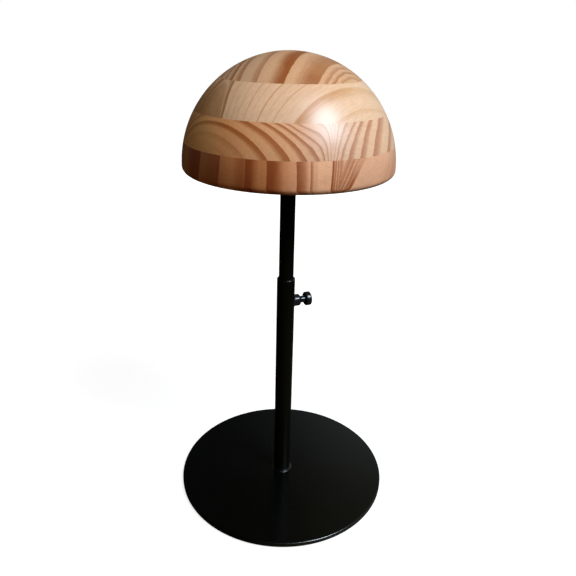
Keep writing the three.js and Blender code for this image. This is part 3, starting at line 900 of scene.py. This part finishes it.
class HATSTAND_OT_clamp(bpy.types.Operator):
    """Boss, screw and nylon tip that clamp the upper tube"""

    bl_idname = "hat_stand.clamp"
    bl_label = "Clamp"

    def execute(self, context):
        sizes = context.scene.hat_stand_sizes
        finishes = context.scene.hat_stand_finishes
        gloss = lacquer("gloss_black", finishes.gloss_black, finishes.gloss_roughness, FINE_PEEL_GRAIN)
        self.add_boss(sizes, gloss)
        self.add_screw(sizes, gloss)
        return {"FINISHED"}

    def add_boss(self, sizes, material):
        """The boss's inner end follows the lower tube: at angle a round the boss, a point at radius
        r starts at sqrt(R^2 - (r sin a)^2) from the pole's axis, R being the tube's radius. A weld
        fillet runs from the boss to the tube along a quarter circle."""
        radius = box_size("clamp_boss", 1) / 2
        end = float(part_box("clamp_boss")[1][0])
        bore = sizes.clamp_hole_radius
        leg = sizes.weld_leg
        seat = 0.05 * MM
        weld_steps = 6
        quarter = np.linspace(0, math.pi / 2, weld_steps + 1)
        weld = np.stack((radius + leg * (1 - np.sin(quarter)), leg * (1 - np.cos(quarter))), axis=-1)
        corners = rounded([
            (radius, leg, 0),
            (radius, end - LOWER_TUBE_RADIUS, sizes.boss_rounding),
            (bore, end - LOWER_TUBE_RADIUS, sizes.tube_fine_rounding),
            (bore, 0, 0),
        ], steps=8)
        profile = np.concatenate((weld, corners[1:]))
        points, faces = turned_surface(profile, sizes.tube_sides)
        rows = points.reshape(len(profile), sizes.tube_sides, 3)
        saddle = np.sqrt((LOWER_TUBE_RADIUS + seat) ** 2 - rows[..., 1] ** 2)
        share = np.clip(1 - rows[..., 2] / (end - LOWER_TUBE_RADIUS), 0, 1)
        rows[..., 2] += LOWER_TUBE_RADIUS + share * (saddle - LOWER_TUBE_RADIUS)
        points = along_x(rows.reshape(-1, 3), CLAMP_HEIGHT)
        boss = mesh_object("clamp_boss_finished", points, faces)
        finish(boss, "clamp_boss", "base", material)

    def add_screw(self, sizes, material):
        """Thumb screw with a thread, a plain neck, a rounded head and a socket for the nylon tip."""
        low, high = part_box("clamp_screw")
        start, end = float(low[0]), float(high[0])
        head_radius = float(high[1] - low[1]) / 2
        head_start = end - sizes.knob_length
        socket_radius, socket_depth = 1.8 * MM, 3 * MM
        neck, point = 3.6 * MM, 0.6 * MM
        profile = rounded([
            (0, start + socket_depth, 0),
            (socket_radius, start + socket_depth, 0),
            (socket_radius, start, 0),
            (SHANK_RADIUS, start, 0.5 * MM),
            (SHANK_RADIUS, head_start, 0.25 * MM),
            (head_radius, head_start, sizes.knob_rounding),
            (head_radius, end, sizes.knob_rounding),
            (0, end, 0),
        ], steps=8)
        thread_low, thread_high = start + point, head_start - neck
        rows_per_turn = 12
        inside = np.arange(thread_low, thread_high, sizes.thread_pitch / rows_per_turn)
        rows = np.stack((np.full(len(inside), SHANK_RADIUS), inside), axis=-1)
        socket_points = 3
        on_shank = profile[socket_points:, 0] >= SHANK_RADIUS - TINY
        profile = np.insert(profile, socket_points + int(np.argmax(on_shank)) + 1, rows, axis=0)
        thread = (thread_low, thread_high, sizes.thread_pitch, sizes.thread_depth)
        points, faces = turned_surface(profile, sizes.tube_sides, thread)
        screw = mesh_object("clamp_screw_finished", along_x(points, CLAMP_HEIGHT), faces)
        finish(screw, "clamp_screw", "clamp_screw", material)


class HATSTAND_OT_small_parts(bpy.types.Operator):
    """Flange with its wood screws, and the finish of the pieces inside the pole"""

    bl_idname = "hat_stand.small_parts"
    bl_label = "Small parts"

    def execute(self, context):
        sizes = context.scene.hat_stand_sizes
        finishes = context.scene.hat_stand_finishes
        bright = bpy.data.materials["zinc_plate"]
        white = nylon(finishes.nylon)
        black = lacquer("black_lacquer", finishes.lacquer, finishes.lacquer_roughness, PEEL_GRAIN)
        for node in ("tube_foot_plug", "tube_top_plug", "head_stud", "flange_nut"):
            wear(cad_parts[node], bright)
        for node in ("clamp_tip", "guide_bush"):
            wear(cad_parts[node], white)
        finish(self.flange(sizes), "head_flange", "head", black)
        for node in FLANGE_SCREW_NODES:
            finish(self.wood_screw(node, sizes), node, "head", bright)
        return {"FINISHED"}

    def flange(self, sizes):
        """Disc with rounded edges, bored for the stud and countersunk for the wood screws."""
        low, high = floor_of("head_flange"), top_of("head_flange")
        radius = box_size("head_flange", 0) / 2
        profile = rounded([
            (sizes.bore_radius, low, sizes.tube_fine_rounding),
            (radius, low, sizes.flange_rounding),
            (radius, high, sizes.tube_fine_rounding),
            (sizes.bore_radius, high, 0),
        ], closed=True)
        flange = turned_piece("head_flange", profile, sizes.plate_sides)
        hole = sizes.wood_screw_radius + SEAT_GAP
        start, end = low - CUTTER_MARGIN, high + CUTTER_MARGIN
        for node in FLANGE_SCREW_NODES:
            sink = box_size(node, 0) / 2 + SEAT_GAP
            profile = [(0, start), (sink, start), (sink, low)]
            profile += [(hole, low + sink - hole), (hole, end), (0, end)]
            points, faces = turned_surface(profile, CUTTER_SIDES)
            points[:, :2] += middle_of(node)
            cut(flange, points, faces)
        return flange

    def wood_screw(self, node, sizes):
        """Countersunk screw with a pointed shank and a cross recess."""
        low, high, shank = floor_of(node), top_of(node), sizes.wood_screw_radius
        profile = countersunk(node, shank, high - 1.5 * shank, 0, sizes.tube_fine_rounding)
        screw = turned_piece(node, profile, sizes.tube_sides // 2, middle_of(node))
        span, width = sizes.recess_span / 2, sizes.recess_width / 2
        for across, along in ((span, width), (width, span)):
            points, faces = bar(1, low - CUTTER_MARGIN, low + sizes.recess_depth, 4)
            corners = np.stack((points[:, 0] - points[:, 1], points[:, 0] + points[:, 1]), axis=-1)
            points[:, :2] = corners * (across, along) + middle_of(node)
            cut(screw, points, faces)
        return screw


class HATSTAND_OT_dome(bpy.types.Operator):
    """Four pine boards, glued up and turned to a dome"""

    bl_idname = "hat_stand.dome"
    bl_label = "Dome"

    def execute(self, context):
        sizes = context.scene.hat_stand_sizes
        for board in context.scene.hat_stand_boards:
            profile = self.board_profile(board.node, sizes.dome_rim_rounding)
            piece = turned_piece(board.node, profile, sizes.dome_sides)
            finish(piece, board.node, "head", pine(board))
        return {"FINISHED"}

    def board_profile(self, node, rim):
        """Outline of one board: the quarter circle of the rim on the lowest board, then the arc
        (R cos e, R sin e + rim) of the dome, over the elevations e between the board's faces, with
        one step for each degree."""
        low, high = floor_of(node) - DOME_FLOOR, top_of(node) - DOME_FLOOR
        first = math.asin(min(max(low - rim, 0) / DOME_RADIUS, 1))
        last = math.asin(min((high - rim) / DOME_RADIUS, 1))
        steps = max(int(math.degrees(last - first)), 2)
        elevation = np.linspace(first, last, steps + 1)
        arc = np.stack((DOME_RADIUS * np.cos(elevation), DOME_RADIUS * np.sin(elevation) + rim), axis=-1)
        if low < rim / 2:
            rim_steps = 9
            turn = np.linspace(-math.pi / 2, 0, rim_steps + 1)[:-1]
            edge = np.stack((DOME_RADIUS - rim + rim * np.cos(turn), rim + rim * np.sin(turn)), axis=-1)
            arc = np.concatenate((edge, arc))
        reaches_the_axis = arc[-1, 0] < MM
        if reaches_the_axis:
            arc = arc[:-1]
        profile = np.concatenate(([[0, low]], arc, [[0, high]]))
        profile[:, 1] += DOME_FLOOR
        return profile


class HATSTAND_OT_studio(bpy.types.Operator):
    """Floor, lamps, background and camera"""

    bl_idname = "hat_stand.studio"
    bl_label = "Studio"

    def execute(self, context):
        scene = context.scene
        studio = scene.hat_stand_studio
        self.add_floor(studio)
        self.add_world(scene, studio)
        self.add_lamps(scene, studio)
        self.add_camera(scene, studio)
        scene.view_settings.view_transform = "Standard"
        return {"FINISHED"}

    def add_floor(self, studio):
        """The seen floor is white, and only its glow near the stand is dimmed, so that the shadow
        of the lamp shows there. The light that it throws back is a pale floor's in a dim room, and
        so is its reflection in the lacquer, which is brightest on the camera's right."""
        shader = new_material("studio_floor")
        place = shader.place()
        away = shader.length(place)
        glow = shader.ramp(away / 1.2, ((0.0, 0.84), (0.3, 0.86), (1.0, 1.0)))
        lit = shader.node("BsdfDiffuse", None, {"Color": (0.34, 0.34, 0.34, 1)})
        shine = shader.node("Emission", None, {"Color": (1, 1, 1, 1), "Strength": glow})
        seen = shader.node("AddShader", None, {0: lit, 1: shine})
        bounce = shader.node("BsdfDiffuse", None, {"Color": (0.13, 0.085, 0.045, 1)})
        near = shader.ramp(away / 0.6, ((0.0, 0.8), (0.3, 1.0), (0.45, 0.45), (0.7, 0.15), (1.0, 0.08)))
        rightward = shader.dot(place, heading(studio.camera_turn))
        side = shader.ramp(rightward / 0.4 + 0.5, ((0.0, 0.1), (0.4, 0.3), (0.6, 1.0), (1.0, 1.0)))
        dim = shader.node("Emission", None, {"Color": opaque(studio.floor_gleam), "Strength": near * side})
        shader.node("OutputMaterial", None, {"Surface": shader.by_ray(seen, dim, bounce)})
        thickness, sides = 10 * MM, 96
        floor = mesh_object("studio_floor", *bar(studio.floor_radius, -thickness, 0, sides))
        floor.data.materials.append(shader.owner)

    def add_world(self, scene, studio):
        """White for the camera and through glass, dim warm light from all sides, and for gloss the
        dim room that the lacquer mirrors, which is brightest behind the stand on the camera's
        right."""
        shader = Shader(bpy.data.worlds.new("studio_world"))
        scene.world = shader.owner
        white = shader.node("Background", None, {"Color": (1, 1, 1, 1), "Strength": 1.0})
        fill = {"Color": opaque(studio.fill), "Strength": studio.fill_strength}
        around = shader.node("Background", None, fill)
        way = shader.node("TexCoord", output="Generated")
        rightward = shader.dot(way, heading(studio.camera_turn))
        forward = shader.dot(way, heading(studio.camera_turn + math.pi / 2))
        height = shader.node("SeparateXYZ", None, {0: way}, "Z")
        lit = ((0.0, 0.02), (0.3, 0.02), (0.42, 0.025), (0.5, 0.05), (0.58, 0.11), (0.7, 0.19), (1.0, 0.22))
        facing = shader.ramp(forward + 0.5, ((0.3, 0.1), (0.7, 1.0)))
        low = shader.ramp(height, ((0.5, 1.0), (0.6, 0.75), (0.7, 0.4))) * 1.6
        high = shader.ramp(height, ((0.62, 0.0), (0.74, 1.0)))
        cast = shader.mix(high, opaque(studio.room), opaque(studio.ceiling))
        room = {"Color": cast, "Strength": shader.ramp(rightward + 0.5, lit) * facing * low}
        mirrored = shader.node("Background", None, room)
        shader.node("OutputWorld", None, {"Surface": shader.by_ray(white, mirrored, around)})

    def add_lamps(self, scene, studio):
        """A window-like key lamp on the camera's right, a dim warm one on the left and a low one
        behind the stand, which lights its far side. The lacquer mirrors only the key lamp. A lamp
        looks at the dome's floor from its turn to the right of the camera and its rise."""
        key_size, side_size = (studio.key_size, 1.5 * studio.key_size), (1.2, 1.2)
        lamps = (
            ("key_lamp", studio.key_turn, studio.key_rise, key_size, studio.key_power, studio.key),
            ("side_lamp", math.radians(-72), math.radians(15), side_size, studio.side_power, studio.fill),
            ("back_lamp", math.radians(176), math.radians(7), side_size, studio.back_power, (1, 1, 1)),
        )
        for name, turn, rise, size, power, shade in lamps:
            lamp = bpy.data.lights.new(name, "AREA")
            lamp.color = shade
            lamp.shape = "RECTANGLE"
            lamp.size, lamp.size_y = size
            lamp.energy = power
            thing = bpy.data.objects.new(name, lamp)
            thing.visible_camera = False
            thing.visible_glossy = name == "key_lamp"
            scene.collection.objects.link(thing)
            spin = Matrix.Rotation(studio.camera_turn + turn, 4, "Z")
            tilt = Matrix.Rotation(math.pi / 2 - rise, 4, "X")
            far = Matrix.Translation((0, 0, studio.key_distance))
            thing.matrix_world = Matrix.Translation((0, 0, DOME_FLOOR)) @ spin @ tilt @ far

    def add_camera(self, scene, studio):
        """Pinhole camera that stands at the camera's turn, distance and height, and looks down."""
        camera = bpy.data.cameras.new("camera")
        camera.sensor_width = 36
        camera.lens = studio.lens
        camera.clip_start = 0.01
        thing = bpy.data.objects.new("camera", camera)
        scene.collection.objects.link(thing)
        back = Matrix.Translation((0, -studio.camera_distance, studio.camera_height))
        spot = Matrix.Rotation(studio.camera_turn, 4, "Z") @ back
        look = Matrix.Rotation(-studio.camera_yaw, 4, "Z")
        look = look @ Matrix.Rotation(math.pi / 2 - studio.camera_pitch, 4, "X")
        thing.matrix_world = spot @ look @ Matrix.Rotation(studio.camera_roll, 4, "Z")
        scene.camera = thing


class HATSTAND_PT_panel(bpy.types.Panel):
    """Sizes, finishes and steps of the hat stand"""

    bl_idname = "HATSTAND_PT_panel"
    bl_label = "Hat Stand"
    bl_space_type = "VIEW_3D"
    bl_region_type = "UI"
    bl_category = "Hat Stand"

    def draw(self, context):
        scene = context.scene
        for step in STEPS:
            self.layout.operator(step.bl_idname)
        groups = (scene.hat_stand_sizes, scene.hat_stand_finishes, scene.hat_stand_studio)
        for group in (*groups, *scene.hat_stand_boards):
            for name in group.__annotations__:
                if name not in ("tones", "rings"):
                    self.layout.prop(group, name)


GROUPS = (HatStandSizes, HatStandFinishes, HatStandRing, HatStandTone, HatStandBoard, HatStandStudio)
STEPS = (
    HATSTAND_OT_base, HATSTAND_OT_pole, HATSTAND_OT_clamp, HATSTAND_OT_small_parts,
    HATSTAND_OT_dome, HATSTAND_OT_studio,
)
CLASSES = (*GROUPS, *STEPS, HATSTAND_PT_panel)


def fill_boards(boards):
    """Gives each board its rings and colours."""
    for node, grain in zip(BOARD_NODES, BOARDS):
        board = boards.add()
        board.node = node
        board.pith_turn = math.radians(grain["turn"])
        board.pith_rise = math.radians(grain["rise"])
        board.pith_aside = grain["aside"] * MM
        board.pith_above = grain["above"] * MM
        board.bend_aside, board.bend_above = grain["bends"]
        board.taper = grain["taper"]
        board.crook_height, board.crook_place, board.crook_width = (part * MM for part in grain["crook"])
        board.unevenness = grain["uneven"] * MM
        for place, *looks in grain["tones"]:
            tone = board.tones.add()
            tone.place = place * MM
            tone.early, tone.late, tone.strength = looks
        for edge, *looks in grain["rings"]:
            ring = board.rings.add()
            ring.edge = edge * MM
            ring.darkness, ring.share = looks


def register():
    for cls in CLASSES:
        bpy.utils.register_class(cls)
    bpy.types.Scene.hat_stand_sizes = PointerProperty(type=HatStandSizes)
    bpy.types.Scene.hat_stand_finishes = PointerProperty(type=HatStandFinishes)
    bpy.types.Scene.hat_stand_studio = PointerProperty(type=HatStandStudio)
    bpy.types.Scene.hat_stand_boards = CollectionProperty(type=HatStandBoard)


def unregister():
    del bpy.types.Scene.hat_stand_boards
    del bpy.types.Scene.hat_stand_studio
    del bpy.types.Scene.hat_stand_finishes
    del bpy.types.Scene.hat_stand_sizes
    for cls in reversed(CLASSES):
        bpy.utils.unregister_class(cls)


def main():
    register()
    fill_boards(bpy.context.scene.hat_stand_boards)
    bpy.ops.hat_stand.base()
    bpy.ops.hat_stand.pole()
    bpy.ops.hat_stand.clamp()
    bpy.ops.hat_stand.small_parts()
    bpy.ops.hat_stand.dome()
    bpy.ops.hat_stand.studio()


if __name__ == "__main__":
    main()
